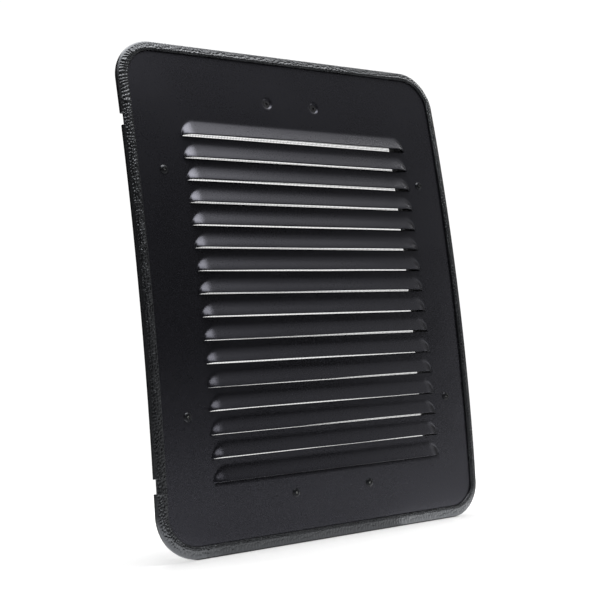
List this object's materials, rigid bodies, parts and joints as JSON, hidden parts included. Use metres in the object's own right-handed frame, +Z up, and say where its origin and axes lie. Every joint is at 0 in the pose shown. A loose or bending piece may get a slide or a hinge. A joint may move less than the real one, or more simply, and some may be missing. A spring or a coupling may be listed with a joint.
{
  "type": "van window vent grille",
  "caption": "Bowed black sheet vent panel with pressed downward louvres, insect mesh behind and a push-on edge trim, made to seat in a van's sliding window opening.",
  "frame": {"origin": "lowest line of the edge trim, at the middle of the bottom edge and of the trim's thickness, where the panel seats in the window channel", "axes": "+X to the right as seen from outside the van, +Y into the van (the louvre hoods face -Y), +Z up the panel"},
  "size_m": [0.3602, 0.0344, 0.4464],
  "materials": {
    "panel_black": "satin black powder coat on sheet aluminium",
    "trim_pvc": "embossed grain, soft black PVC",
    "clip_steel": "bare spring steel strip",
    "mesh_black": "black coated glass-fibre insect mesh",
    "frame_black": "satin black powder coat on aluminium angle",
    "rivet_black": "black painted blind rivet",
    "fixing_black": "blackened steel",
    "zinc_steel": "bright zinc plated steel"
  },
  "bodies": {
    "root": {"louvre_panel": "panel_black", "edge_trim": "trim_pvc", "trim_clip_core": "clip_steel", "insect_mesh": "mesh_black", "mesh_frame_top": "frame_black", "mesh_frame_bottom": "frame_black", "mesh_frame_left": "frame_black", "mesh_frame_right": "frame_black", "grip_bracket": "frame_black", "rivet_left_upper": "rivet_black", "rivet_left_lower": "rivet_black", "rivet_right_upper": "rivet_black", "rivet_right_lower": "rivet_black", "rivet_bottom_left": "rivet_black", "rivet_bottom_right": "rivet_black", "rivet_mandrels": "fixing_black", "top_screw_left": "fixing_black", "top_screw_right": "fixing_black", "top_nut_left": "zinc_steel", "top_nut_right": "zinc_steel", "top_washers": "zinc_steel"}
  },
  "joints": []
}
